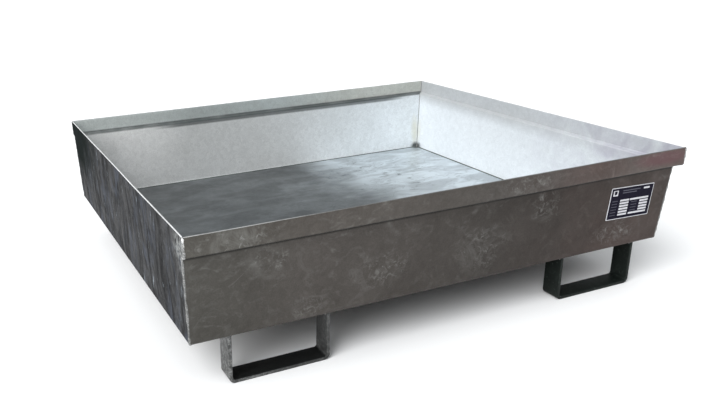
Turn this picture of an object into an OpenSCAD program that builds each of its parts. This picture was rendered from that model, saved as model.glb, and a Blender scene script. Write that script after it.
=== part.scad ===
// Galvanised sheet-steel sump tray: an open tub that catches what drips from
// drums or machines, carried on four U-shaped flat-bar feet that take fork tines.
// The walls lean in towards the floor. Three of them step out to an upright rim
// band; the left one runs straight from the floor to the rim.
// Millimetres. Origin on the ground below the tray's centre, +X right, +Y back, +Z up.

/* [Rim] */
// Width of the tray over the rim, left to right
rim_w = 1300; // [1200:10:1500]
// Depth of the tray over the rim, front to back
rim_d = 1100; // [1000:10:1400]
// Height of the upright rim band
band_h = 46; // [30:1:70]
// How far the band steps out from the wall below it
ledge_w = 16; // [13:1:24]

/* [Walls and floor] */
// Height of the leaning wall, from the floor's underside to the step
wall_h = 198; // [150:1:300]
// How far the front, rear and right walls lean in over that height
wall_lean = 12; // [5:1:40]
// How far the left wall leans in from the rim to the floor
left_lean = 10; // [4:1:40]
// Thickness of the sheet
sheet_t = 3; // [2:0.5:4]
// Outer radius of the folds in the sheet
fold_r = 6; // [5:0.5:7]

/* [Feet] */
// Height of the feet, ground to floor
foot_h = 114; // [80:1:120]
// Outer width of one foot
foot_w = 236; // [180:4:280]
// Width of the flat bar, which lies front to back
bar_w = 50; // [40:5:80]
// Thickness of the flat bar
bar_t = 8; // [6:1:10]
// Outer radius of the bends at the bottom of a foot
foot_bend_r = 14; // [12:1:20]
// Distance between the centres of the left and right feet
foot_spread = 876; // [600:4:900]

/* [Welds] */
// Gap between two wall ends at a corner, which the weld fills
corner_gap = 2; // [1:0.5:3]
// Width of the ground weld along a right-hand corner
corner_weld_w = 5; // [4:0.5:8]
// How far the corner weld stands proud of the sheet
corner_weld_proud = 1.2; // [0.5:0.1:2]
// Radius of the bead along the floor's edges
floor_bead_r = 4; // [3.5:0.25:5]
// Radius of the fillets at the top of the feet
foot_bead_r = 5; // [4:0.5:7]

/* [Rating plate] */
// Width of the plate
plate_w = 140; // [90:5:160]
// Height of the plate
plate_h = 84; // [60:1:110]
// Thickness of the plate
plate_t = 1; // [0.8:0.1:2]
// Distance of the plate's centre from the tray's middle
plate_x = 508; // [300:1:520]
// Distance of the plate's centre below the step
plate_drop = 78; // [70:1:90]
// How far the plate is turned clockwise on the wall, in degrees
plate_turn = 2; // [0:0.5:3]

/* [Hidden] */

$fn = 32;
arc_steps = 6;

half_w = rim_w / 2;
half_d = rim_d / 2;
ledge_z = foot_h + wall_h;
rim_z = ledge_z + band_h;
base_in = ledge_w + wall_lean;  // plan distance from the rim to a stepped wall's lower edge
floor_in = base_in + fold_r;    // plan distance from the rim to the floor sheet's edge
floor_in_left = left_lean + fold_r;
floor_y = half_d - floor_in;
floor_left = -half_w + floor_in_left;
floor_right = half_w - floor_in;
lean_angle = atan(wall_lean / wall_h);
foot_x = foot_spread / 2;
foot_y = floor_y - bar_w / 2;

zinc = [0.62, 0.64, 0.65];
dark_zinc = [0.36, 0.35, 0.34];
weld_grey = [0.72, 0.73, 0.74];
plate_black = [0.10, 0.10, 0.14];

// Outside of a wall in its cross-section: distance out from the rim, height
stepped_line = [[-base_in, foot_h], [-ledge_w, ledge_z], [0, ledge_z], [0, rim_z]];
plain_line = [[-left_lean, foot_h], [0, rim_z]];
// The same with the lip that is folded in under the floor sheet's edge
stepped_path = concat([[-floor_in, foot_h]], stepped_line);
plain_path = concat([[-floor_in_left, foot_h]], plain_line);

// ---- Folded strips: a path of corners, thickened on its left and rounded ----

function unit(v) = v / norm(v);
function normal(v) = [-v.y, v.x];
function turns_left(a, p, b) = (p.x - a.x) * (b.y - p.y) > (p.y - a.y) * (b.x - p.x);

// Corner p of a path moved to its left by off, so that both segments stay parallel
function moved(a, p, b, off) =
    let (n1 = normal(unit(p - a)), n2 = normal(unit(b - p)))
    p + off * (n1 + n2) / (1 + n1 * n2);

// Arc of radius r that rounds corner p between its neighbours a and b
function rounded(a, p, b, r) =
    let (
        u = unit(a - p),
        w = unit(b - p),
        half = acos(u * w) / 2,
        centre = p + unit(u + w) * r / sin(half),
        from = p + u * r / tan(half) - centre,
        start = atan2(from.y, from.x),
        sweep = (turns_left(a, p, b) ? 1 : -1) * (180 - 2 * half)
    )
    [for (i = [0:arc_steps])
        let (t = start + sweep * i / arc_steps)
        centre + r * [cos(t), sin(t)]];

// The path moved to its left by off, with r_left at left turns and r_right at right turns
function strip_edge(path, off, r_left, r_right) =
    let (
        last = len(path) - 1,
        row = [for (i = [0:last])
            i == 0 ? path[0] + off * normal(unit(path[1] - path[0]))
            : i == last ? path[last] + off * normal(unit(path[last] - path[last - 1]))
            : moved(path[i - 1], path[i], path[i + 1], off)]
    )
    [for (i = [0:last]) each
        i == 0 || i == last ? [row[i]]
        : rounded(row[i - 1], row[i], row[i + 1],
            turns_left(row[i - 1], row[i], row[i + 1]) ? r_left : r_right)];

function reversed(v) = [for (i = [len(v) - 1:-1:0]) v[i]];

// Outline of a strip of thickness t on the left of a path, folded to an outer radius
module strip(path, t, outer_r) {
    polygon(concat(
        strip_edge(path, 0, outer_r, outer_r - t),
        reversed(strip_edge(path, t, outer_r - t, outer_r))
    ));
}

// The line of a wall's outside, run on by a little below the floor and above the rim
function run_on(line) =
    let (last = len(line) - 1)
    concat(
        [line[0] + unit(line[0] - line[1]) * 5],
        [for (i = [1:1:last - 1]) line[i]],
        [line[last] + unit(line[last] - line[last - 1]) * 5]
    );

// ---- Placing what runs along one side of the tray ----

// Extrudes a cross-section along the front rim, over the tray's whole width
module along_front() {
    translate([0, -half_d, 0])
    rotate([90, 0, -90])
    linear_extrude(rim_w + 10, center = true)
    children();
}

// Extrudes a cross-section along the left rim, over the tray's whole depth
module along_left() {
    translate([-half_w, 0, 0])
    rotate([90, 0, 180])
    linear_extrude(rim_d + 10, center = true)
    children();
}

module mirrored_to_right() { mirror([1, 0, 0]) children(); }
module mirrored_to_rear() { mirror([0, 1, 0]) children(); }

// Upright prism over an outline drawn in plan
module upright(outline) { linear_extrude(rim_z + 1) polygon(outline); }

// ---- Tub ----

module floor_sheet() {
    color(zinc)
    translate([floor_left, -floor_y, foot_h])
    cube([floor_right - floor_left, 2 * floor_y, sheet_t]);
}

gap = corner_gap / 2;
diagonal_gap = gap * sqrt(2);
reach = floor_in + 2 * floor_bead_r;
// Plan of the front left corner inside, where the mitre between two folded lips starts
left_inside = -half_w + left_lean + sheet_t + 0.5;
front_inside = -half_d + base_in + sheet_t + 0.5;

// Everything on the tray's side of the left wall's inside
module right_of_left_wall() {
    inside = strip_edge(run_on(plain_line), sheet_t + gap, fold_r, fold_r);
    translate([-half_w, 0, 0])
    rotate([90, 0, 180])
    linear_extrude(2 * rim_d, center = true)
    polygon(concat(inside, [[-2 * rim_w, rim_z + 5], [-2 * rim_w, foot_h - 5]]));
}

// Everything between the insides of the front and rear walls
module between_front_and_rear() {
    inside = strip_edge(run_on(stepped_line), sheet_t + gap, fold_r - sheet_t, fold_r);
    for (side = [0, 1]) mirror([0, side, 0])
    translate([0, -half_d, 0])
    rotate([90, 0, -90])
    linear_extrude(2 * rim_w, center = true)
    polygon(concat(inside, [[-half_d - 1, rim_z + 5], [-half_d - 1, foot_h - 5]]));
}

// Mitred at its right end; its left end butts on the left wall's inside
module front_wall_sheet() {
    fold_start = left_inside + diagonal_gap;
    mitre_start = half_w - diagonal_gap;
    intersection() {
        along_front() strip(stepped_path, sheet_t, fold_r);
        right_of_left_wall();
        upright([
            [-half_w - 1, -half_d - 1],
            [mitre_start + 1, -half_d - 1],
            [mitre_start - reach, -half_d + reach],
            [fold_start + reach, front_inside + reach],
            [fold_start, front_inside],
            [-half_w - 1, front_inside]
        ]);
    }
}

// Its ends follow the insides of the front and rear walls
module left_wall_sheet() {
    fold_start = -front_inside - diagonal_gap;
    intersection() {
        along_left() strip(plain_path, sheet_t, fold_r);
        between_front_and_rear();
        upright([
            [-half_w - 1, -half_d],
            [left_inside, -half_d],
            [left_inside, -fold_start],
            [left_inside + reach, reach - fold_start],
            [left_inside + reach, fold_start - reach],
            [left_inside, fold_start],
            [left_inside, half_d],
            [-half_w - 1, half_d]
        ]);
    }
}

// Mitred at both ends
module right_wall_sheet() {
    mitre_start = half_d - diagonal_gap;
    intersection() {
        mirrored_to_right() along_left() strip(stepped_path, sheet_t, fold_r);
        upright([
            [half_w + 1, -mitre_start - 1],
            [half_w + 1, mitre_start + 1],
            [half_w - reach, mitre_start - reach],
            [half_w - reach, reach - mitre_start]
        ]);
    }
}

module front_wall() { color(dark_zinc) front_wall_sheet(); }
module rear_wall() { color(zinc) mirrored_to_rear() front_wall_sheet(); }
module left_wall() { color(dark_zinc) left_wall_sheet(); }
module right_wall() { color(zinc) right_wall_sheet(); }

// ---- Welds of the tub ----

// Outline of a strip that stands proud of a wall on both its faces
module proud_strip(path) {
    outside = strip_edge(path, -corner_weld_proud, fold_r, fold_r - sheet_t);
    inside = strip_edge(path, sheet_t + corner_weld_proud, fold_r - sheet_t, fold_r);
    polygon(concat(outside, reversed(inside)));
}

// Fills the square corner between the ends of the front and left walls
module left_corner_weld() {
    difference() {
        intersection() {
            along_front() proud_strip(stepped_path);
            along_left() proud_strip(plain_path);
            translate([-half_w - 10, -half_d - 10, 0]) cube([60, 60, rim_z]);
        }
        front_wall_sheet();
        left_wall_sheet();
    }
}

// Ground weld that fills the mitre between two walls, in the corner's diagonal plane
module right_corner_weld() {
    diagonal = [for (p = stepped_path) [p.x * sqrt(2), p.y]];
    depth = sheet_t * sqrt(2) + corner_weld_proud;
    outside = strip_edge(diagonal, -corner_weld_proud, fold_r, fold_r - sheet_t);
    inside = strip_edge(diagonal, depth, fold_r - sheet_t, fold_r);
    difference() {
        translate([half_w, -half_d, 0])
        rotate([0, 0, -45])
        rotate([90, 0, 0])
        linear_extrude(corner_weld_w, center = true)
        polygon(concat(outside, reversed(inside)));
        front_wall_sheet();
        right_wall_sheet();
    }
}

module corner_weld_front_left() { color(weld_grey) left_corner_weld(); }
module corner_weld_front_right() { color(weld_grey) right_corner_weld(); }
module corner_weld_rear_left() { color(weld_grey) mirrored_to_rear() left_corner_weld(); }
module corner_weld_rear_right() { color(weld_grey) mirrored_to_rear() right_corner_weld(); }

// Cross-section of the low bead over the butt joint between floor sheet and lip
module seam_section(path) {
    difference() {
        translate([path[0].x, foot_h + sheet_t - floor_bead_r / 2]) circle(r = floor_bead_r);
        strip(path, sheet_t, fold_r);
        translate([path[0].x - floor_bead_r, foot_h + sheet_t - 2 * floor_bead_r])
        square(2 * floor_bead_r);
    }
}

// Plan of a seam along the line from a to b, mitred at 45 degrees at both ends
module seam_plan(a, b) {
    u = unit(b - a);
    n = normal(u);
    r = floor_bead_r;
    cut = r + 1;
    upright([
        a + u * (cut - r) - n * r, b - u * (cut - r) - n * r,
        b - u * (cut + r) + n * r, a + u * (cut + r) + n * r
    ]);
}

module front_seam() {
    intersection() {
        along_front() seam_section(stepped_path);
        seam_plan([floor_left, -floor_y], [floor_right, -floor_y]);
    }
}

module floor_seam_front() { color(weld_grey) front_seam(); }
module floor_seam_rear() { color(weld_grey) mirrored_to_rear() front_seam(); }
module floor_seam_left() {
    color(weld_grey)
    intersection() {
        along_left() seam_section(plain_path);
        seam_plan([floor_left, floor_y], [floor_left, -floor_y]);
    }
}
module floor_seam_right() {
    color(weld_grey)
    intersection() {
        mirrored_to_right() along_left() seam_section(stepped_path);
        seam_plan([floor_right, -floor_y], [floor_right, floor_y]);
    }
}

// ---- Feet ----

// Puts a shape drawn at the middle of a foot under one corner of the tray
module at_foot(x_side, y_side) {
    translate([x_side * foot_x, y_side * foot_y, 0])
    rotate([90, 0, 0])
    children();
}

// Flat bar bent to a U, open towards the front and the back
module foot(x_side, y_side) {
    outline = [
        [-foot_w / 2, foot_h], [-foot_w / 2, 0], [foot_w / 2, 0], [foot_w / 2, foot_h]
    ];
    color(dark_zinc)
    at_foot(x_side, y_side)
    linear_extrude(bar_w, center = true) strip(outline, bar_t, foot_bend_r);
}

module foot_front_left() { foot(-1, -1); }
module foot_front_right() { foot(1, -1); }
module foot_rear_left() { foot(-1, 1); }
module foot_rear_right() { foot(1, 1); }

// Quarter-round fillet under the floor, beside the face of a leg at x
module fillet_bead(x, direction) {
    translate([x, foot_h])
    intersection() {
        circle(r = foot_bead_r);
        translate([min(0, direction * foot_bead_r), -foot_bead_r]) square(foot_bead_r);
    }
}

module foot_welds(x_side, y_side) {
    color(weld_grey)
    at_foot(x_side, y_side)
    linear_extrude(bar_w, center = true)
    for (leg = [-1, 1]) {
        fillet_bead(leg * foot_w / 2, leg);
        fillet_bead(leg * (foot_w / 2 - bar_t), -leg);
    }
}

module foot_welds_front_left() { foot_welds(-1, -1); }
module foot_welds_front_right() { foot_welds(1, -1); }
module foot_welds_rear_left() { foot_welds(-1, 1); }
module foot_welds_rear_right() { foot_welds(1, 1); }

// ---- Rating plate, flat on the leaning front wall ----

module rating_plate() {
    plate_in = ledge_w + wall_lean * plate_drop / wall_h;
    color(plate_black)
    translate([plate_x, plate_in - half_d, ledge_z - plate_drop])
    rotate([lean_angle, 0, 0])
    rotate([0, plate_turn, 0])
    translate([-plate_w / 2, -plate_t, -plate_h / 2])
    cube([plate_w, plate_t, plate_h]);
}

floor_sheet();
front_wall();
rear_wall();
left_wall();
right_wall();
corner_weld_front_left();
corner_weld_front_right();
corner_weld_rear_left();
corner_weld_rear_right();
floor_seam_front();
floor_seam_rear();
floor_seam_left();
floor_seam_right();
foot_front_left();
foot_front_right();
foot_rear_left();
foot_rear_right();
foot_welds_front_left();
foot_welds_front_right();
foot_welds_rear_left();
foot_welds_rear_right();
rating_plate();
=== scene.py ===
import math

import bmesh
import bpy
from mathutils import Matrix, Vector, noise


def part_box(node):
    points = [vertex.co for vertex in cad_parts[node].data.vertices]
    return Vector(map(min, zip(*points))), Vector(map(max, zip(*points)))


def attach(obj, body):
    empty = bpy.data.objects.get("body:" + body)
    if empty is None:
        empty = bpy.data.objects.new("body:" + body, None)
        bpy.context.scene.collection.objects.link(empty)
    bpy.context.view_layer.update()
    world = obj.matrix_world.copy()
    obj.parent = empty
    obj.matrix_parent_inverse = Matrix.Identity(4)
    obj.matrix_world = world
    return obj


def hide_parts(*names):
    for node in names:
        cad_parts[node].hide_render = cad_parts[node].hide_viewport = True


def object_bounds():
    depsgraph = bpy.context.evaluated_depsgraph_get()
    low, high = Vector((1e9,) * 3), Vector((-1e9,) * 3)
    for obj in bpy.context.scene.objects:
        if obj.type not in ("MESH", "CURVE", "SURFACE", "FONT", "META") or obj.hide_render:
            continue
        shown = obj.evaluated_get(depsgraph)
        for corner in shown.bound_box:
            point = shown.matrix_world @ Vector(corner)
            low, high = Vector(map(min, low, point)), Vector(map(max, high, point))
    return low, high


# Galvanised sump tray on four U feet. Metres, in the CAD frame: +X right, +Y back, +Z up.
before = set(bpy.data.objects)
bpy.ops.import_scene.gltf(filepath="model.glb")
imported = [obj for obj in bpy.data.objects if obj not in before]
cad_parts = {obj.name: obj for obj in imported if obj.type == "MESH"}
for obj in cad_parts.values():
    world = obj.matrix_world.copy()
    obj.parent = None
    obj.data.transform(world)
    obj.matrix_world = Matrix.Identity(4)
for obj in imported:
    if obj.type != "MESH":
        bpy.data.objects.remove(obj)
cad_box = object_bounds()

# ---------------------------------------------------------------------------------------
# Sizes: the boxes come from the CAD parts in model.glb, the rest are the design's own sheet and bar sizes
# ---------------------------------------------------------------------------------------
SHEET = 0.003
FOLD_R = 0.006
BAND_H = 0.046
LEDGE = 0.016
BAR = 0.008
FOOT_BEND = 0.014
CORNER_GAP = 0.0015
PLATE = (0.140, 0.084, 0.001)
PLATE_TURN = 2.0

# Unevenness: how far the sheets and the bars stray from flat. The sheets stay true near their
# ends, the walls also just above the floor, and the waves grow over the lengths named here.
WALL_WAVE = 0.0012
RIM_WAVE = 0.0007
FLOOR_WAVE = 0.0030
BAR_WAVE = 0.0003
WALL_END_FADE = 0.06
WALL_TRUE = 0.004
WALL_FADE = 0.05
FLOOR_TRUE = 0.065
FLOOR_FADE = 0.15

# Weld beads: radius, distance between ripples and between rings
CORNER_BEAD = (0.0025, 0.0042, 0.0011)
SEAM_BEAD = (0.0034, 0.0070, 0.0020)
FOOT_BEAD = (0.0038, 0.0045, 0.0012)

floor_lo, floor_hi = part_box("floor_sheet")
front_lo, front_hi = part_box("front_wall")
left_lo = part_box("left_wall")[0]
HALF_W = -left_lo.x
HALF_D = -front_lo.y
FLOOR_Z = floor_lo.z
RIM_Z = front_hi.z
LEDGE_Z = RIM_Z - BAND_H
FLOOR_IN = HALF_W - floor_hi.x
FLOOR_IN_LEFT = HALF_W + floor_lo.x
BASE_IN = FLOOR_IN - FOLD_R
LEFT_LEAN = FLOOR_IN_LEFT - FOLD_R
LEAN = math.atan((BASE_IN - LEDGE) / (LEDGE_Z - FLOOR_Z))

# Underside and outside of a stepped wall in section: distance out from the rim, height
WALL_PATH = [
    (-FLOOR_IN, FLOOR_Z),
    (-BASE_IN, FLOOR_Z),
    (-LEDGE, LEDGE_Z),
    (0.0, LEDGE_Z),
    (0.0, RIM_Z),
]
SIDES = ("front", "right", "rear", "left")
CORNERS = {
    "front_left": (-1, -1),
    "front_right": (1, -1),
    "rear_left": (-1, 1),
    "rear_right": (1, 1),
}


# ---------------------------------------------------------------------------------------
# Outlines
# ---------------------------------------------------------------------------------------
def unit(v):
    return v / v.length


def left_of(v):
    """The vector turned a quarter to its left."""
    return Vector((-v.y, v.x))


def moved_path(path, off):
    """The path moved to its left, with its segments kept parallel."""
    pts = [Vector(p) for p in path]
    last = len(pts) - 1
    row = []
    for i, p in enumerate(pts):
        n1 = left_of(unit(pts[max(i, 1)] - pts[max(i, 1) - 1]))
        n2 = left_of(unit(pts[min(i + 1, last)] - pts[min(i + 1, last) - 1]))
        row.append(p + (n1 + n2) * (off / (1 + n1.dot(n2))))
    return row


def rounded_path(pts, r_left, r_right, steps):
    """The path with an arc at each inner corner: r_left where it turns left, else r_right."""
    out = [pts[0].copy()]
    for a, p, b in zip(pts, pts[1:], pts[2:]):
        u = unit(a - p)
        w = unit(b - p)
        half = math.acos(max(-1.0, min(1.0, u.dot(w)))) / 2
        turn = 1 if (p - a).cross(b - p) > 0 else -1
        radius = r_left if turn > 0 else r_right
        centre = p + unit(u + w) * (radius / math.sin(half))
        start = p + u * (radius / math.tan(half)) - centre
        sweep = turn * (math.pi - 2 * half)
        for i in range(steps + 1):
            out.append(centre + Matrix.Rotation(sweep * i / steps, 2) @ start)
    out.append(pts[-1].copy())
    return out


def with_spacing(pts, longest):
    """The same outline with points added so that no step is longer than longest."""
    out = [pts[0]]
    for a, b in zip(pts, pts[1:]):
        n = max(1, math.ceil((b - a).length / longest))
        out.extend(a.lerp(b, i / n) for i in range(1, n + 1))
    return out


# ---------------------------------------------------------------------------------------
# Meshes
# ---------------------------------------------------------------------------------------
def make_piece(name, bm, materials, replaces, sharp_deg=40):
    """Turns a bmesh into a smooth-shaded piece that rides on the tray and stands in for CAD nodes."""
    bmesh.ops.remove_doubles(bm, verts=bm.verts, dist=1e-6)
    bmesh.ops.recalc_face_normals(bm, faces=bm.faces)
    limit = math.radians(sharp_deg)
    for edge in bm.edges:
        edge.smooth = len(edge.link_faces) == 2 and edge.calc_face_angle(0.0) < limit
    for face in bm.faces:
        face.smooth = True
    mesh = bpy.data.meshes.new(name)
    bm.to_mesh(mesh)
    bm.free()
    for material in materials:
        mesh.materials.append(material)
    obj = bpy.data.objects.new(name, mesh)
    bpy.context.scene.collection.objects.link(obj)
    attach(obj, "root")
    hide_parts(*replaces)


def skin(bm, rings, material_of=None):
    """Joins rings of points with quads and closes both ends. material_of picks a quad's material."""
    rows = [[bm.verts.new(p) for p in ring] for ring in rings]
    count = len(rows[0])
    for a, b in zip(rows, rows[1:]):
        for j in range(count):
            k = (j + 1) % count
            face = bm.faces.new((a[j], a[k], b[k], b[j]))
            if material_of:
                face.material_index = material_of(j)
    for row in (rows[0], rows[-1]):
        bm.faces.new(row)


def waviness(point, seed):
    """A soft unevenness of hand-made sheet, from -1 to 1."""
    p = Vector(point) + Vector((seed * 3.7, seed * 1.3, seed * 2.9))
    return 0.7 * noise.noise(p * 2.3) + 0.3 * noise.noise(p * 8.5)


# ---- Walls ----
WALL_STEP = 0.012
RIM_ROUND = 0.0011
RIM_EDGE = 0.002


def wall_outline():
    """Closed section of a stepped wall as (out, height), in three runs: outside, edge, inside."""
    outside = rounded_path(moved_path(WALL_PATH, 0.0), FOLD_R, FOLD_R - SHEET, 7)
    inside = rounded_path(moved_path(WALL_PATH, SHEET), FOLD_R - SHEET, FOLD_R, 7)
    outside[-1] = Vector((0.0, RIM_Z - RIM_ROUND))
    inside[-1] = Vector((-SHEET, RIM_Z - RIM_ROUND))
    outside = with_spacing(outside, WALL_STEP)
    inside = with_spacing(inside, WALL_STEP)
    edge = []
    for centre_u, start in ((-RIM_ROUND, 0.0), (-SHEET + RIM_ROUND, 90.0)):
        for i in range(5):
            a = math.radians(start + 22.5 * i)
            edge.append(
                Vector((centre_u + RIM_ROUND * math.cos(a), RIM_Z + RIM_ROUND * (math.sin(a) - 1)))
            )
    return outside, edge[1:-1], inside[::-1]


def left_inset(inset, z, depth):
    """How far in the left wall is at a point of the stepped section, depth inside its outside."""
    if z < FLOOR_Z + FOLD_R:
        return inset - FLOOR_IN + FLOOR_IN_LEFT
    if z > RIM_Z - RIM_EDGE:
        return inset
    return LEFT_LEAN * (RIM_Z - z) / (RIM_Z - FLOOR_Z) + depth


def wall(side, outside_mat, edge_mat, inside_mat):
    """One side's sheet, slightly wavy but true at its ends and at its lower edge."""
    outside, edge, inside = wall_outline()
    outline = outside + edge + inside
    edge_from = len(outside) - 1
    inside_from = edge_from + len(edge) + 1
    insets = [-p.x for p in outline]
    lefts = [left_inset(-p.x, p.y, 0.0 if i <= edge_from else SHEET) for i, p in enumerate(outline)]
    seed = 1 + SIDES.index(side)
    across_run = side in ("front", "rear")
    run = 2 * (HALF_W if across_run else HALF_D)
    steps = round(run / WALL_STEP)
    flip = -1 if side in ("front", "left") else 1
    rings = []
    for i in range(steps + 1):
        s = i / steps
        ring = []
        for inset, left, p in zip(insets, lefts, outline):
            low = min(1.0, max(0.0, (p.y - FLOOR_Z - WALL_TRUE) / WALL_FADE))
            calm = min(1.0, min(s, 1 - s) * run / WALL_END_FADE)
            start = -HALF_W + left if across_run else -HALF_D + inset
            end = HALF_W - inset if across_run else HALF_D - inset
            along = (start + CORNER_GAP) * (1 - s) + (end - CORNER_GAP) * s
            push = WALL_WAVE * waviness((along, 0, p.y), seed) * calm * low
            lift = RIM_WAVE * waviness((along, 5, 0), seed) * calm * max(0.0, p.y - LEDGE_Z) / BAND_H
            reach = HALF_D - inset if across_run else HALF_W - (left if side == "left" else inset)
            out = flip * (reach + push)
            ring.append((along, out, p.y + lift) if across_run else (out, along, p.y + lift))
        rings.append([Vector(q) for q in ring])
    bm = bmesh.new()

    def material_of(j):
        if j < edge_from:
            return 0
        return 1 if j < inside_from else 2

    skin(bm, rings, material_of=material_of)
    materials = [outside_mat, edge_mat, inside_mat]
    make_piece(f"{side}_wall_sheet", bm, materials, [f"{side}_wall"])


# ---- Floor ----
def floor_plate(top_mat, under_mat):
    """The floor sheet, buckled a little in its middle and flat along its seams."""
    step = 0.02
    nx = round((floor_hi.x - floor_lo.x) / step)
    ny = round((floor_hi.y - floor_lo.y) / step)
    bm = bmesh.new()
    layers = []
    for z in (floor_lo.z, floor_hi.z):
        rows = []
        for j in range(ny + 1):
            row = []
            for i in range(nx + 1):
                x = floor_lo.x + (floor_hi.x - floor_lo.x) * i / nx
                y = floor_lo.y + (floor_hi.y - floor_lo.y) * j / ny
                rim = min(floor_hi.x - x, x - floor_lo.x, floor_hi.y - abs(y))
                calm = min(1.0, max(0.0, rim - FLOOR_TRUE) / FLOOR_FADE)
                dz = FLOOR_WAVE * calm * waviness((x * 0.8, y * 0.8, 0), 9)
                row.append(bm.verts.new((x, y, z + dz)))
            rows.append(row)
        layers.append(rows)
    for rows, index in zip(layers, (1, 0)):
        for a, b in zip(rows, rows[1:]):
            for i in range(nx):
                bm.faces.new((a[i], a[i + 1], b[i + 1], b[i])).material_index = index
    low, high = layers
    rims = [
        ([r[0] for r in low], [r[0] for r in high]),
        ([r[-1] for r in low], [r[-1] for r in high]),
        (low[0], high[0]),
        (low[-1], high[-1]),
    ]
    for a, b in rims:
        for i in range(len(a) - 1):
            bm.faces.new((a[i], a[i + 1], b[i + 1], b[i])).material_index = 1
    make_piece("floor_plate", bm, [top_mat, under_mat], ["floor_sheet"])


# ---- Welds ----
def bead_rings(path, radius, pitch, seed, sides=10, flat=1.0, uneven=0.10):
    """Rings of a weld bead along a path, with ripples pitch apart and an uneven width."""
    rings = []
    travelled = 0.0
    for i, p in enumerate(path):
        before = path[max(i - 1, 0)]
        after = path[min(i + 1, len(path) - 1)]
        tangent = unit(after - before)
        travelled += (p - before).length
        ripple = abs(math.sin(math.pi * travelled / pitch))
        r = radius * (0.86 + 0.14 * ripple + uneven * noise.noise(p * 90 + Vector((seed, 0, 0))))
        if i in (0, len(path) - 1):
            r *= 0.55
        across = unit(tangent.cross(Vector((0.0, 0.0, 1.0))) + Vector((1e-6, 1e-6, 0)))
        other = tangent.cross(across)
        wander = across * (0.0005 * noise.noise(p * 40 + Vector((0, seed, 0))))
        ring = []
        for k in range(sides):
            a = 2 * math.pi * k / sides
            swept = tangent * (0.35 * radius * math.cos(a) * ripple)
            ring.append(p + wander + across * (r * math.cos(a)) + other * (r * flat * math.sin(a)) + swept)
        rings.append(ring)
    return rings


def spaced(path, step):
    """The same path with its points about step apart."""
    out = [path[0]]
    for a, b in zip(path, path[1:]):
        n = max(1, round((b - a).length / step))
        out.extend(a.lerp(b, i / n) for i in range(1, n + 1))
    return out


def bead(bm, path, size, seed, **shape):
    """Adds a weld bead along a path. size is one of the named beads."""
    radius, pitch, step = size
    skin(bm, bead_rings(spaced(path, step), radius, pitch, seed, **shape))


def corner_weld(corner, material):
    """A rough bead up one corner, in the middle of the sheets' thickness."""
    sx, sy = CORNERS[corner]
    mid = rounded_path(moved_path(WALL_PATH, SHEET / 2), FOLD_R - SHEET / 2, FOLD_R - SHEET / 2, 5)
    mid[-1].y -= 0.002
    path = []
    for p in mid:
        inset = -p.x
        across = left_inset(inset, p.y, SHEET / 2) if sx < 0 else inset
        path.append(Vector((sx * (HALF_W - across), sy * (HALF_D - inset), p.y)))
    bm = bmesh.new()
    bead(bm, path, CORNER_BEAD, seed_of(corner), uneven=0.45)
    make_piece(f"corner_bead_{corner}", bm, [material], [f"corner_weld_{corner}"], sharp_deg=60)


def seed_of(word):
    """A small number that differs from word to word, so that no two beads are alike."""
    return sum(ord(c) * (i + 1) for i, c in enumerate(word)) % 97


def floor_seam(side, material):
    """A low bead between the floor sheet and one wall."""
    inward = 0.0005
    short = 0.004
    x0, x1 = floor_lo.x, floor_hi.x
    y0, y1 = floor_lo.y, floor_hi.y
    ends = {
        "front": ((x0 + short, y0 + inward), (x1 - short, y0 + inward)),
        "rear": ((x0 + short, y1 - inward), (x1 - short, y1 - inward)),
        "left": ((x0 + inward, y0 + short), (x0 + inward, y1 - short)),
        "right": ((x1 - inward, y0 + short), (x1 - inward, y1 - short)),
    }[side]
    path = [Vector((x, y, floor_hi.z)) for x, y in ends]
    bm = bmesh.new()
    bead(bm, path, SEAM_BEAD, seed_of(side), sides=8, flat=0.55)
    make_piece(f"seam_bead_{side}", bm, [material], [f"floor_seam_{side}"], sharp_deg=60)


def foot_welds(corner, material):
    """Four beads under the floor, one on each side of the foot's two legs."""
    lo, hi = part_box(f"foot_{corner}")
    inset = 0.0012
    short = 0.002
    bm = bmesh.new()
    for x, out in ((lo.x, -1), (hi.x, 1), (lo.x + BAR, 1), (hi.x - BAR, -1)):
        px = x + out * inset
        ends = [Vector((px, y, hi.z - inset)) for y in (lo.y + short, hi.y - short)]
        bead(bm, ends, FOOT_BEAD, seed_of(corner) + 10 * out)
    make_piece(f"foot_beads_{corner}", bm, [material], [f"foot_welds_{corner}"], sharp_deg=60)


# ---- Feet ----
def foot(corner, bar_mat):
    """One flat bar bent to a U."""
    lo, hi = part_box(f"foot_{corner}")
    centre = (lo + hi) / 2
    half_w = (hi.x - lo.x) / 2
    line = [(-half_w, hi.z), (-half_w, lo.z), (half_w, lo.z), (half_w, hi.z)]
    mid = rounded_path(moved_path(line, BAR / 2), FOOT_BEND - BAR / 2, FOOT_BEND, 10)
    mid = with_spacing(mid, 0.01)
    section = bar_section((hi.y - lo.y) / 2, BAR / 2, 0.0012)
    rings = []
    for i, p in enumerate(mid):
        before = mid[max(i - 1, 0)]
        after = mid[min(i + 1, len(mid) - 1)]
        across = left_of(unit(after - before))
        ring = []
        for y, n in section:
            q = p + across * n
            dent = BAR_WAVE * noise.noise(Vector((q.x, y, q.y)) * 60 + Vector((seed_of(corner), 0, 0)))
            q = q + across * (dent if n > 0 else -dent)
            ring.append(Vector((centre.x + q.x, centre.y + y, max(q.y, lo.z))))
        rings.append(ring)
    bm = bmesh.new()
    skin(bm, rings)
    make_piece(f"foot_bar_{corner}", bm, [bar_mat], [f"foot_{corner}"])


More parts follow.
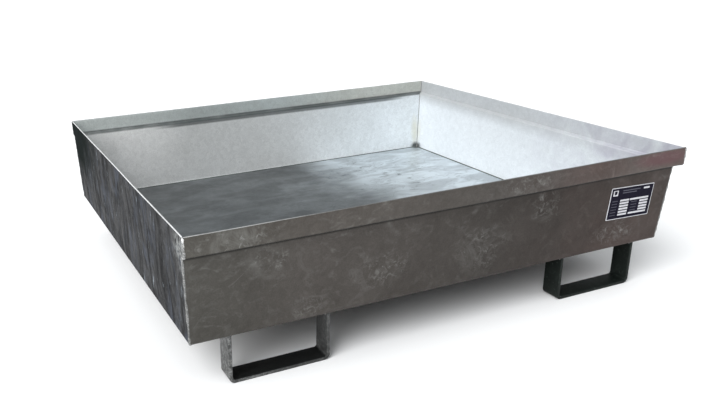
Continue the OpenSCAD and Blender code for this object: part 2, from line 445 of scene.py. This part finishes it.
def bar_section(half_width, half_thick, radius):
    """Rolled flat bar: a rectangle with small round corners, as (width, thickness) points."""
    out = []
    for sy, sn, start in ((1, 1, 0), (-1, 1, 90), (-1, -1, 180), (1, -1, 270)):
        for i in range(4):
            a = math.radians(start + 30 * i)
            out.append(
                (
                    sy * (half_width - radius) + radius * math.cos(a),
                    sn * (half_thick - radius) + radius * math.sin(a),
                )
            )
    return out


# ---- Rating plate ----
def slab(bm, place, width, height, thick, corner, at=(0.0, 0.0), level=0.0, index=0):
    """A flat rounded block on the plate: at is its centre along and up, level its back."""
    outline = []
    for sx, sy, start in ((1, 1, 0), (-1, 1, 90), (-1, -1, 180), (1, -1, 270)):
        for i in range(5):
            a = math.radians(start + 22.5 * i)
            x = sx * (width / 2 - corner) + corner * math.cos(a)
            y = sy * (height / 2 - corner) + corner * math.sin(a)
            outline.append((at[0] + x, at[1] + y))
    soft = min(0.0002, thick / 3)
    middle = Vector(at)
    rings = []
    for z, shrink in ((0.0, 0.0), (thick - soft, 0.0), (thick, soft)):
        ring = []
        for p in outline:
            q = Vector(p)
            q = q - unit(q - middle) * shrink
            ring.append(place @ Vector((q.x, q.y, level + z)))
        rings.append(ring)
    before = len(bm.faces)
    skin(bm, rings)
    bm.faces.ensure_lookup_table()
    for face in bm.faces[before:]:
        face.material_index = index


def rating_plate(dark, light, field):
    """A dark plate with a light border and blank printed blocks. It has no text."""
    lo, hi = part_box("rating_plate")
    width, height, thick = PLATE
    middle = (lo + hi) / 2
    turn = Matrix.Rotation(math.radians(90) + LEAN, 4, "X")
    out = turn.to_3x3() @ Vector((0, 0, 1))
    place = Matrix.Translation(middle - out * (thick / 2)) @ turn
    place = place @ Matrix.Rotation(math.radians(-PLATE_TURN), 4, "Z")
    bm = bmesh.new()
    print_thick = 0.0001
    level = thick * 0.85

    def block(x0, x1, y, tall, index, on=level):
        """A printed block from x0 to x1 across the plate, as parts of its width, y down from its top."""
        size = ((x1 - x0) * width, tall * height)
        at = ((x0 + x1 - 1) / 2 * width, (0.5 - y) * height)
        slab(bm, place, *size, print_thick, min(0.0006, size[1] / 3), at, on, index)

    slab(bm, place, width, height, thick * 0.75, 0.002, index=1)
    border = 0.0019
    slab(bm, place, width - 2 * border, height - 2 * border, thick * 0.1, 0.001, level=thick * 0.75)
    block(0.055, 0.165, 0.17, 0.17, 1)
    block(0.080, 0.140, 0.16, 0.11, 0, level + print_thick)
    for x0, x1, y in ((0.27, 0.68, 0.115), (0.27, 0.60, 0.185)):
        block(x0, x1, y, 0.030, 2)
    block(0.76, 0.90, 0.115, 0.055, 1)
    rows = 6
    first = 0.42
    pitch = 0.088
    for i in range(rows):
        y = first + pitch * i
        block(0.06, 0.19, y, 0.018, 2)
        block(0.25, 0.46, y, 0.056, 1)
        if i in (0, rows - 1):
            block(0.48 if i == 0 else 0.50, 0.92, y, 0.056, 1)
        else:
            block(0.52, 0.66, y, 0.018, 2)
            block(0.72, 0.92, y, 0.056, 1)
    make_piece("rating_plate_face", bm, [dark, light, field], ["rating_plate"])


# ---------------------------------------------------------------------------------------
# Materials
# ---------------------------------------------------------------------------------------
class Graph:
    """A material's nodes, with short calls for what the zinc needs. All in object metres."""

    def __init__(self, name):
        self.material = bpy.data.materials.new(name)
        self.material.use_nodes = True
        self.tree = self.material.node_tree
        self.shader = self.tree.nodes["Principled BSDF"]
        self.place = self.node("ShaderNodeTexCoord").outputs["Object"]

    def node(self, kind, **settings):
        made = self.tree.nodes.new(kind)
        for key, value in settings.items():
            setattr(made, key, value)
        return made

    def put(self, value, socket):
        """Links a socket to another or sets it to a plain value."""
        if isinstance(value, bpy.types.NodeSocket):
            self.tree.links.new(value, socket)
        else:
            socket.default_value = value

    def mapped(self, stretch=(1, 1, 1), shift=(0, 0, 0), turn=(0, 0, 0)):
        made = self.node("ShaderNodeMapping")
        self.put(self.place, made.inputs["Vector"])
        made.inputs["Scale"].default_value = stretch
        made.inputs["Location"].default_value = shift
        made.inputs["Rotation"].default_value = [math.radians(a) for a in turn]
        return made.outputs["Vector"]

    def noise(self, scale, detail=3.0, rough=0.55, distortion=0.0, **where):
        made = self.node("ShaderNodeTexNoise")
        self.put(self.mapped(**where), made.inputs["Vector"])
        made.inputs["Scale"].default_value = scale
        made.inputs["Detail"].default_value = detail
        made.inputs["Roughness"].default_value = rough
        made.inputs["Distortion"].default_value = distortion
        return made.outputs["Fac"]

    def cells(self, scale, **where):
        made = self.node("ShaderNodeTexVoronoi")
        self.put(self.mapped(**where), made.inputs["Vector"])
        made.inputs["Scale"].default_value = scale
        return made.outputs["Color"]

    def ramp(self, value, *stops):
        """Grey or colour stops as (position, value)."""
        made = self.node("ShaderNodeValToRGB")
        elements = made.color_ramp.elements
        while len(elements) < len(stops):
            elements.new(0.5)
        for element, (at, colour) in zip(elements, stops):
            element.position = at
            element.color = (*colour, 1) if isinstance(colour, tuple) else (colour,) * 3 + (1,)
        self.put(value, made.inputs["Fac"])
        return made.outputs["Color"]

    def mix(self, amount, a, b, mode="MIX"):
        made = self.node("ShaderNodeMix", data_type="RGBA", blend_type=mode)
        self.put(amount, made.inputs["Factor"])
        self.put(colour_of(a), made.inputs["A"])
        self.put(colour_of(b), made.inputs["B"])
        return made.outputs["Result"]

    def math(self, operation, a, b):
        made = self.node("ShaderNodeMath", operation=operation)
        self.put(a, made.inputs[0])
        self.put(b, made.inputs[1])
        return made.outputs["Value"]

    def bump(self, height, strength, distance, normal=None):
        made = self.node("ShaderNodeBump")
        made.inputs["Strength"].default_value = strength
        made.inputs["Distance"].default_value = distance
        self.put(height, made.inputs["Height"])
        if normal is not None:
            self.put(normal, made.inputs["Normal"])
        return made.outputs["Normal"]

    def along(self, axis, start, end):
        """0 at start to 1 at end along an axis of the tray."""
        split = self.node("ShaderNodeSeparateXYZ")
        self.put(self.place, split.inputs["Vector"])
        made = self.node("ShaderNodeMapRange", interpolation_type="SMOOTHSTEP")
        self.put(split.outputs[axis], made.inputs["Value"])
        made.inputs["From Min"].default_value = start
        made.inputs["From Max"].default_value = end
        return made.outputs["Result"]

    def spot(self, at, size, ragged=0.6, scale=30):
        """1 inside an oval place on the tray, 0 outside. size is its half-widths in metres."""
        shift = tuple(-a / b for a, b in zip(at, size))
        reach = self.node("ShaderNodeVectorMath", operation="LENGTH")
        self.put(self.mapped(stretch=tuple(1 / b for b in size), shift=shift), reach.inputs[0])
        edge = self.math("MULTIPLY", self.math("SUBTRACT", self.noise(scale, 4, 0.6), 0.5), ragged)
        return self.ramp(self.math("ADD", reach.outputs["Value"], edge), (0.45, 1.0), (1.0, 0.0))

    def smears(self, scale, width, grain, **where):
        """Wandering smears, soft at their edges and broken up by a finer grain."""
        value = self.noise(scale, 2, 0.5, 1.2, **where)
        band = self.ramp(value, (0.5 - width, 0.0), (0.5, 1.0), (0.5 + width, 0.0))
        broken = self.ramp(self.noise(grain, 6, 0.7, 0.6, **where), (0.46, 0.0), (0.66, 1.0))
        return self.math("MULTIPLY", band, broken)

    def times(self, *values):
        product = values[0]
        for value in values[1:]:
            product = self.math("MULTIPLY", product, value)
        return product

    def shade(self, colour, rough, metallic, normal=None, *, specular):
        self.put(colour, self.shader.inputs["Base Color"])
        self.put(rough, self.shader.inputs["Roughness"])
        self.shader.inputs["Metallic"].default_value = metallic
        self.shader.inputs["Specular IOR Level"].default_value = specular
        if normal is not None:
            self.put(normal, self.shader.inputs["Normal"])
        return self.material


def colour_of(value):
    """A plain colour gets its fourth part, a socket stays as it is."""
    return (*value, 1) if isinstance(value, tuple) and len(value) == 3 else value


def zinc(
    name, dark, light, patch, metallic, rough, marks=None, patches=0.5, grit=0.25, specular=0.5, grain=1.0
):
    """Hot-dip zinc: clouds from dark to light, faint spangle, paler wisps, and marks of its own.

    patches is how strong the wisps are, grit the bump and grain the spangle and the fine specks.
    """
    g = Graph(name)
    clouds = g.ramp(g.noise(4.5, 5, 0.6), (0.32, 0.0), (0.70, 1.0))
    colour = g.mix(clouds, dark, light)
    spangle = g.ramp(g.cells(95, shift=(3, 1, 2)), (0.1, 0.90), (0.9, 1.10))
    colour = g.mix(grain, colour, g.mix(1.0, colour, spangle, "MULTIPLY"))
    wisps = g.ramp(g.noise(16, 7, 0.66, 2.0, shift=(7, 2, 4)), (0.54, 0.0), (0.74, 1.0))
    colour = g.mix(g.math("MULTIPLY", wisps, patches), colour, patch)
    speck = g.ramp(g.noise(330, 2, 0.5), (0.35, 0.86), (0.65, 1.10))
    colour = g.mix(grain, colour, g.mix(1.0, colour, speck, "MULTIPLY"))
    if marks:
        colour = marks(g, colour)
    roughness = g.ramp(g.noise(22, 4, 0.6, shift=(1, 9, 3)), (0.3, rough - 0.07), (0.7, rough + 0.09))
    coarse = g.bump(g.noise(60, 4, 0.6), grit, 0.0012)
    fine = g.bump(g.noise(420, 3, 0.6), grit, 0.0004, coarse)
    return g.shade(colour, roughness, metallic, fine, specular=specular)


def front_tones(g, colour):
    """Green-grey at the left, darker and redder to the right, and a lighter rim band."""
    darker = g.mix(1.0, colour, (0.66, 0.645, 0.635), "MULTIPLY")
    colour = g.mix(g.along("X", -0.40, 0.20), colour, darker)
    dull = g.times(g.along("X", -0.10, 0.12), g.along("X", 0.50, 0.34))
    colour = g.mix(dull, colour, g.mix(1.0, colour, (0.87, 0.87, 0.87), "MULTIPLY"))
    lighter = g.ramp(
        g.along("X", -0.55, 0.50),
        (0.0, (1.16, 1.15, 1.13)),
        (0.6, (1.50, 1.53, 1.54)),
        (1.0, (2.05, 2.08, 2.15)),
    )
    band = g.along("Z", LEDGE_Z - 0.001, LEDGE_Z + 0.004)
    colour = g.mix(band, colour, g.mix(1.0, colour, lighter, "MULTIPLY"))
    green = g.math("MULTIPLY", g.along("X", -0.35, -0.62), 0.5)
    colour = g.mix(green, colour, g.mix(1.0, colour, (0.95, 1.05, 1.02), "MULTIPLY"))
    red = g.times(g.along("X", 0.05, 0.42), g.ramp(g.noise(6, 3), (0.30, 0.35), (0.62, 1.0)))
    return g.mix(red, colour, g.mix(1.0, colour, (1.16, 0.94, 0.92), "MULTIPLY"))


# Where the front wall is scuffed pale: centre, half-widths and strength
SCUFFED = (
    ((-0.54, -0.55, LEDGE_Z + 0.022), (0.11, 0.05, 0.035), 0.9),
    ((-0.47, -0.52, FLOOR_Z + 0.155), (0.06, 0.05, 0.05), 0.6),
    ((-0.20, -0.52, FLOOR_Z + 0.08), (0.09, 0.05, 0.05), 0.5),
    ((-0.38, -0.52, FLOOR_Z + 0.03), (0.05, 0.05, 0.04), 0.5),
    ((0.06, -0.52, FLOOR_Z + 0.08), (0.09, 0.05, 0.07), 0.5),
    ((0.17, -0.55, LEDGE_Z + 0.024), (0.09, 0.05, 0.030), 0.7),
    ((0.24, -0.53, LEDGE_Z - 0.045), (0.05, 0.05, 0.050), 0.5),
    ((0.47, -0.52, FLOOR_Z + 0.045), (0.08, 0.05, 0.035), 0.6),
)


def front_scuffs(g, colour):
    """Pale scuffs, wisps and wipes in a few places, and thin wipes here and there."""
    pale = (0.30, 0.30, 0.285)
    scuffs = g.ramp(g.noise(56, 6, 0.78, 1.0, shift=(2, 5, 8)), (0.52, 0.0), (0.68, 0.9))
    wiped = g.smears(9, 0.045, 40, stretch=(1, 1, 1.5), shift=(2, 6, 5), turn=(0, 35, 0))
    wisp = g.ramp(g.noise(11, 6, 0.68, 1.4, shift=(9, 4, 6)), (0.52, 0.0), (0.72, 0.8))
    for at, size, amount in SCUFFED:
        here = g.spot(at, size, 0.9)
        marks = g.math("MAXIMUM", scuffs, g.math("MULTIPLY", g.math("MAXIMUM", wisp, wiped), 0.55))
        colour = g.mix(g.times(here, marks, amount), colour, pale)
    spread = g.ramp(g.noise(3, 2, shift=(4, 4, 1)), (0.44, 0.0), (0.62, 0.22))
    return g.mix(g.times(wiped, spread), colour, pale)


def front_marks(g, colour):
    """The front's tones, a reddish rust spot at the band's right end, scuffs, and a painted shadow under
    the step.
    """
    colour = front_tones(g, colour)
    rust = g.spot((0.58, -0.55, LEDGE_Z + 0.028), (0.11, 0.05, 0.022), 0.5)
    colour = g.mix(g.math("MULTIPLY", rust, 0.85), colour, (0.125, 0.066, 0.070))
    colour = front_scuffs(g, colour)
    # Painted shadow: a near-black line on the wall just under the step, as if the band's overhang shaded
    # it.
    low = g.along("Z", LEDGE_Z - 0.011, LEDGE_Z - 0.005)
    step_shadow = g.times(low, g.along("Z", LEDGE_Z + 0.004, LEDGE_Z))
    return g.mix(g.math("MULTIPLY", step_shadow, 0.8), colour, (0.012, 0.012, 0.011))


def left_marks(g, colour):
    """Runs down the dark sheet, bluish streaks and pale flecks as painted sheen, a chalky front corner and
    a near-black painted reflection and shadow at the upper rear one.
    """
    runs = g.ramp(g.noise(12, 5, 0.65, 0.9, stretch=(2.2, 2.2, 0.7)), (0.36, 0.50), (0.68, 1.40))
    colour = g.mix(1.0, colour, runs, "MULTIPLY")
    # Painted sheen: the bluish streaks and the pale flecks stand in for reflections, as this sheet is
    # given no specular.
    blue = g.ramp(g.noise(7, 4, 0.6, 1.0, stretch=(3, 3, 1.2), shift=(5, 3, 1)), (0.50, 0.0), (0.68, 0.5))
    colour = g.mix(blue, colour, (0.085, 0.095, 0.118))
    flecks = g.noise(34, 4, 0.7, 0.5, stretch=(2, 2, 0.5), shift=(1, 8, 1))
    bright = g.ramp(flecks, (0.62, 0.0), (0.72, 0.7))
    colour = g.mix(bright, colour, (0.26, 0.29, 0.32))
    corner = g.spot((-HALF_W, -HALF_D, LEDGE_Z + 0.012), (0.03, 0.070, 0.060), 0.6, 60)
    chalk = g.ramp(g.noise(75, 5, 0.72), (0.42, 0.0), (0.58, 0.95))
    colour = g.mix(g.times(corner, chalk, 0.7), colour, (0.36, 0.37, 0.36))
    # Painted reflection and shadow: a near-black patch towards the upper rear.
    painted_dark_reflection = g.spot((-0.645, 0.52, RIM_Z - 0.03), (0.10, 0.34, 0.15), 0.7, 14)
    return g.mix(g.math("MULTIPLY", painted_dark_reflection, 0.9), colour, (0.010, 0.013, 0.012))


def rear_marks(g, colour):
    """Painted light: paler towards the right and lightened at the left against the left wall's shadow; a
    green-grey band over a dark line, and a dark spot with a yellowish run in the corner.
    """
    # Painted light: the right part is paled as where the light falls, and the left part lightened to lift
    # the shadow cast by the left wall.
    colour = g.mix(g.along("X", -0.1, 0.5), colour, g.mix(1.0, colour, (1.10, 1.14, 1.18), "MULTIPLY"))
    colour = g.mix(g.along("X", -0.20, -0.50), colour, g.mix(1.0, colour, (1.38, 1.36, 1.35), "MULTIPLY"))
    band = g.along("Z", LEDGE_Z + 0.002, LEDGE_Z + 0.008)
    tint = g.ramp(g.along("X", 0.0, 0.4), (0.0, (0.76, 0.81, 0.80)), (1.0, (0.75, 0.73, 0.66)))
    colour = g.mix(band, colour, g.mix(1.0, colour, tint, "MULTIPLY"))
    low = g.times(g.along("X", -0.42, -0.30), g.along("Z", LEDGE_Z - 0.013, LEDGE_Z - 0.007))
    under = g.times(low, g.along("Z", LEDGE_Z + 0.005, LEDGE_Z + 0.001), g.along("X", 0.60, 0.48), 0.75)
    colour = g.mix(under, colour, (0.045, 0.055, 0.055))
    return corner_spot_and_run(g, dark_ledge_line(g, colour, 0.9))


def dark_ledge_line(g, colour, amount):
    """Darkens a thin, uneven line along the step's upper side."""
    low = g.along("Z", LEDGE_Z - 0.004, LEDGE_Z + 0.001)
    high = g.along("Z", LEDGE_Z + 0.010, LEDGE_Z + 0.005)
    dirt = g.times(low, high, g.ramp(g.noise(14, 4, 0.6), (0.25, 0.80), (0.60, 1.0)), amount)
    return g.mix(dirt, colour, (0.035, 0.045, 0.045))


def corner_spot_and_run(g, colour):
    """A dark spot at the bottom of the rear right corner, with a yellowish run above it."""
    inner = (HALF_W - FLOOR_IN, HALF_D - FLOOR_IN)
    run = g.spot((inner[0] - 0.008, inner[1], FLOOR_Z + 0.07), (0.020, 0.020, 0.075), 0.5, 60)
    colour = g.mix(g.math("MULTIPLY", run, 0.5), colour, (0.60, 0.58, 0.44))
    dark = g.spot((inner[0] - 0.004, inner[1] - 0.002, FLOOR_Z + 0.006), (0.024, 0.024, 0.018), 0.6, 90)
    return g.mix(g.math("MULTIPLY", dark, 0.9), colour, (0.05, 0.06, 0.06))


def right_marks(g, colour):
    """Lavender clouds towards the front, a rim band greyed as painted shade, and a thin dark line on the
    step.
    """
    clouds = g.times(g.along("Y", 0.05, -0.45), g.ramp(g.noise(9, 5, 0.6, 0.8), (0.36, 0.0), (0.60, 0.8)))
    colour = g.mix(clouds, colour, (0.45, 0.44, 0.51))
    # Painted shade: the upright band and the top of the wall below it are greyed, more towards the rear.
    upper = g.along("Z", LEDGE_Z - 0.04, LEDGE_Z + 0.006)
    band = g.times(upper, g.ramp(g.along("Y", -0.35, 0.10), (0.0, 0.35), (1.0, 0.8)))
    colour = g.mix(band, colour, g.mix(1.0, colour, (0.64, 0.63, 0.62), "MULTIPLY"))
    return corner_spot_and_run(g, dark_ledge_line(g, colour, 0.10))


def floor_marks(g, colour):
    """Paler towards the right as painted light and reflection, dark sweeps, scribbles and specks of dirt,
    a dark spot in the corner.
    """
    # Painted reflection and light: the floor is paled towards the right, where a bright light would mirror
    # in it.
    clouds = g.ramp(g.noise(5, 4, 0.6), (0.3, 0.0), (0.7, 0.35))
    painted_bright_patch = g.ramp(g.math("ADD", g.along("X", 0.03, 0.36), clouds), (0.25, 0.0), (1.0, 1.0))
    colour = g.mix(painted_bright_patch, colour, (0.63, 0.685, 0.72))
    sweeps = g.ramp(g.noise(7, 4, 0.55, 0.9, stretch=(1, 2.4, 1)), (0.40, 0.72), (0.60, 1.05))
    colour = g.mix(1.0, colour, sweeps, "MULTIPLY")
    scribble = g.smears(16, 0.035, 60, stretch=(1, 1.6, 1))
    where = g.ramp(g.noise(6, 3, shift=(3, 3, 3)), (0.46, 0.0), (0.60, 0.75))
    colour = g.mix(g.times(scribble, where), colour, (0.05, 0.06, 0.065))
    near_corner = g.spot((0.27, 0.27, FLOOR_Z), (0.40, 0.28, 0.10), 0.5, 5)
    grains = g.noise(38, 5, 0.7, 0.8, stretch=(0.55, 1.3, 1), shift=(1, 4, 2))
    specks = g.ramp(grains, (0.57, 0.0), (0.67, 0.8))
    colour = g.mix(g.times(near_corner, specks), colour, (0.13, 0.15, 0.16))
    return corner_spot_and_run(g, colour)


def foot_marks(g, colour):
    """Pale speckle on the bar's outside faces and a near-black painted shadow on its upper faces."""
    normal = g.node("ShaderNodeSeparateXYZ")
    g.put(g.node("ShaderNodeTexCoord").outputs["Normal"], normal.inputs["Vector"])
    # Painted shadow: faces that point up go near-black, as if shaded by the tray above.
    painted_tray_shadow = g.ramp(normal.outputs["Z"], (0.3, 0.0), (0.8, 0.92))
    speckle = g.ramp(g.noise(120, 5, 0.75, 0.5), (0.48, 0.0), (0.66, 0.75))
    outer = g.ramp(g.along("X", -0.42, -0.54), (0.0, 0.30), (1.0, 1.0))
    colour = g.mix(g.math("MULTIPLY", speckle, outer), colour, (0.34, 0.345, 0.34))
    return g.mix(painted_tray_shadow, colour, (0.010, 0.011, 0.011))


def green_foot_marks(g, colour):
    """Only a few pale specks."""
    specks = g.ramp(g.noise(150, 5, 0.75, 0.5), (0.60, 0.0), (0.72, 0.6))
    return g.mix(specks, colour, (0.16, 0.20, 0.18))


def weld_marks(g, colour):
    """Bright specks of zinc on a dull bead, fading lower down as painted sheen, and a painted highlight at
    the top of the front left corner.
    """
    specks = g.ramp(g.noise(260, 4, 0.7), (0.50, 0.0), (0.62, 1.0))
    # Painted sheen: the specks are strongest near the step.
    shine = g.ramp(g.along("Z", LEDGE_Z - 0.02, LEDGE_Z), (0.0, 0.28), (1.0, 1.0))
    colour = g.mix(g.math("MULTIPLY", specks, shine), colour, (0.72, 0.72, 0.70))
    # Painted highlight: a near-white spot at the top of the front left corner.
    top = g.spot((-HALF_W, -HALF_D, RIM_Z), (0.016, 0.016, 0.014), 0.3, 90)
    return g.mix(top, colour, (0.90, 0.90, 0.89))


def front_edge_highlight(g, colour):
    """A painted highlight on the rim's edge towards its left end."""
    bright = g.times(g.along("X", -0.28, -0.55), g.ramp(g.noise(40, 4, 0.7), (0.35, 0.5), (0.6, 1.0)))
    return g.mix(bright, colour, (0.46, 0.46, 0.45))


def plain_print(name, colour, rough):
    """Printed plate colour with a little wear and grain."""
    g = Graph(name)
    wear = g.ramp(g.noise(160, 5, 0.7), (0.35, 0.82), (0.7, 1.08))
    shown = g.mix(0.7, colour, wear, "MULTIPLY")
    roughness = g.ramp(g.noise(90, 3), (0.3, rough - 0.06), (0.7, rough + 0.1))
    return g.shade(shown, roughness, 0.0, g.bump(g.noise(500, 2), 0.1, 0.0002), specular=0.05)


def stage_material():
    """The pale studio floor."""
    g = Graph("pale_floor")
    shade = g.ramp(g.noise(0.7, 2), (0.3, 0.88), (0.7, 0.91))
    return g.shade(shade, 0.8, 0.0, specular=0.1)


# ---------------------------------------------------------------------------------------
# Camera, floor and light
# ---------------------------------------------------------------------------------------
CAMERA_AT = (-1.0244, -1.7897, 0.8689)
CAMERA_YAW = 22.03
CAMERA_PITCH = 19.40
CAMERA_ROLL = -1.95
CAMERA_LENS = 37.69
CAMERA_SHIFT = (0.160, -0.002)


def camera():
    """The photograph's view. Its shift assumes a tray whose sides lean about alike."""
    data = bpy.data.cameras.new("camera")
    data.lens = CAMERA_LENS
    data.sensor_width = 36.0
    data.shift_x, data.shift_y = CAMERA_SHIFT
    data.clip_end = 200
    obj = bpy.data.objects.new("camera", data)
    bpy.context.scene.collection.objects.link(obj)
    yaw = Matrix.Rotation(math.radians(-CAMERA_YAW), 4, "Z")
    pitch = Matrix.Rotation(math.radians(90 - CAMERA_PITCH), 4, "X")
    roll = Matrix.Rotation(math.radians(CAMERA_ROLL), 4, "Z")
    obj.matrix_world = Matrix.Translation(CAMERA_AT) @ yaw @ pitch @ roll
    bpy.context.scene.camera = obj


def stage():
    """A wide plain floor under the feet."""
    half = 40.0
    bm = bmesh.new()
    corners = ((-half, -half), (half, -half), (half, half), (-half, half))
    bm.faces.new([bm.verts.new((x, y, cad_box[0].z)) for x, y in corners])
    mesh = bpy.data.meshes.new("stage_floor")
    bm.to_mesh(mesh)
    bm.free()
    mesh.materials.append(stage_material())
    obj = bpy.data.objects.new("stage_floor", mesh)
    bpy.context.scene.collection.objects.link(obj)


def sun(name, towards, strength, angle, colour):
    """Soft light from far away. towards points from the tray to the light."""
    data = bpy.data.lights.new(name, "SUN")
    data.energy = strength
    data.angle = math.radians(angle)
    data.color = colour
    obj = bpy.data.objects.new(name, data)
    bpy.context.scene.collection.objects.link(obj)
    obj.rotation_euler = Vector(towards).to_track_quat("Z", "Y").to_euler()


def studio_world():
    """Dim near the horizon and bright overhead, like a hall with a lit ceiling."""
    world = bpy.data.worlds.new("studio")
    world.use_nodes = True
    tree = world.node_tree
    place = tree.nodes.new("ShaderNodeTexCoord")
    split = tree.nodes.new("ShaderNodeSeparateXYZ")
    ramp = tree.nodes.new("ShaderNodeValToRGB")
    tree.links.new(place.outputs["Generated"], split.inputs["Vector"])
    tree.links.new(split.outputs["Z"], ramp.inputs["Fac"])
    tree.links.new(ramp.outputs["Color"], tree.nodes["Background"].inputs["Color"])
    tree.nodes["Background"].inputs["Strength"].default_value = 1.0
    low, high = ramp.color_ramp.elements
    low.position, high.position = 0.42, 0.80
    low.color = (0.30, 0.31, 0.32, 1)
    high.color = (0.95, 0.98, 1.0, 1)
    bpy.context.scene.world = world


def lights():
    """A broad soft light from the left, a little to the front, and the hall around."""
    bpy.context.scene.view_settings.view_transform = "Standard"
    studio_world()
    sun("window", (-0.80, -0.34, 0.72), 3.7, 50, (0.99, 0.995, 1.0))


# ---------------------------------------------------------------------------------------
# Build
# ---------------------------------------------------------------------------------------
def sheet_materials():
    """The tub's sheets by side: dark and marked outside, pale inside. The dark outsides are painted shade
    and the pale rear and right insides painted light.
    """
    outside = zinc(
        "zinc_outside",
        (0.064, 0.057, 0.051),
        (0.090, 0.081, 0.074),
        (0.14, 0.133, 0.125),
        0.6,
        0.50,
        front_marks,
        specular=0.3,
        grain=0.6,
    )
    # Painted shade: the left outside is the darkest, with no sheen at all.
    left_out = zinc(
        "zinc_left",
        (0.046, 0.046, 0.047),
        (0.070, 0.070, 0.071),
        (0.092, 0.094, 0.099),
        0.0,
        0.65,
        left_marks,
        specular=0.0,
    )
    rear_in = zinc(
        "zinc_rear",
        (0.62, 0.63, 0.62),
        (0.70, 0.71, 0.705),
        (0.75, 0.765, 0.77),
        0.35,
        0.45,
        rear_marks,
        patches=0.4,
        grain=0.55,
    )
    right_in = zinc(
        "zinc_right",
        (0.66, 0.69, 0.715),
        (0.71, 0.74, 0.765),
        (0.74, 0.765, 0.79),
        0.35,
        0.45,
        right_marks,
        patches=0.4,
        grain=0.4,
    )
    plain_in = zinc("zinc_inside", (0.46, 0.47, 0.47), (0.56, 0.575, 0.58), (0.62, 0.64, 0.66), 0.35, 0.45)
    outsides = {side: left_out if side == "left" else outside for side in SIDES}
    insides = {"front": plain_in, "right": right_in, "rear": rear_in, "left": plain_in}
    return outsides, insides


def edge_materials():
    """The rims' cut edges by side: pale as painted light, and dark as painted shade at the front."""
    edge = zinc("zinc_edge", (0.62, 0.62, 0.62), (0.76, 0.76, 0.76), (0.84, 0.84, 0.84), 0.15, 0.38)
    front_edge = zinc(
        "zinc_front_edge",
        (0.12, 0.12, 0.12),
        (0.20, 0.20, 0.195),
        (0.32, 0.32, 0.31),
        0.5,
        0.40,
        front_edge_highlight,
    )
    return {side: front_edge if side == "front" else edge for side in SIDES}


def floor_material():
    """The floor's upper side, glossier than the walls."""
    return zinc(
        "zinc_floor",
        (0.135, 0.146, 0.152),
        (0.183, 0.196, 0.202),
        (0.24, 0.26, 0.265),
        0.80,
        0.37,
        floor_marks,
        patches=0.3,
        grit=0.12,
        grain=0.6,
    )


def bar_materials():
    """The feet's bars by corner: speckled at the left, nearly black at the right."""
    bar = zinc(
        "zinc_bar",
        (0.040, 0.041, 0.040),
        (0.085, 0.086, 0.084),
        (0.16, 0.16, 0.16),
        0.5,
        0.45,
        foot_marks,
    )
    green_bar = zinc(
        "zinc_green_bar",
        (0.005, 0.007, 0.006),
        (0.012, 0.016, 0.014),
        (0.03, 0.039, 0.035),
        0.3,
        0.50,
        green_foot_marks,
        specular=0.2,
    )
    return {corner: green_bar if "right" in corner else bar for corner in CORNERS}


def weld_materials():
    """The beads' zinc: dull with bright specks, cleaner at the rear right corner, grimy at the floor."""
    weld = zinc(
        "zinc_weld", (0.10, 0.10, 0.098), (0.22, 0.22, 0.215), (0.40, 0.40, 0.39), 0.5, 0.42, weld_marks
    )
    clean = zinc("zinc_clean_weld", (0.26, 0.26, 0.255), (0.36, 0.36, 0.35), (0.46, 0.46, 0.45), 0.5, 0.45)
    grime = zinc("zinc_grime", (0.05, 0.062, 0.060), (0.11, 0.13, 0.125), (0.18, 0.20, 0.19), 0.4, 0.5)
    return weld, clean, grime


def build():
    """Every piece of the tray."""
    outsides, insides = sheet_materials()
    edges = edge_materials()
    bars = bar_materials()
    weld, clean_weld, grime = weld_materials()
    for side in SIDES:
        wall(side, outsides[side], edges[side], insides[side])
        floor_seam(side, grime)
    floor_plate(floor_material(), outsides["front"])
    for corner in CORNERS:
        corner_weld(corner, clean_weld if corner == "rear_right" else weld)
        foot(corner, bars[corner])
        foot_welds(corner, weld)
    dark = plain_print("print_dark", (0.009, 0.008, 0.018), 0.6)
    light = plain_print("print_light", (0.62, 0.62, 0.65), 0.5)
    field = plain_print("print_field", (0.10, 0.10, 0.125), 0.5)
    rating_plate(dark, light, field)


camera()
stage()
lights()
build()
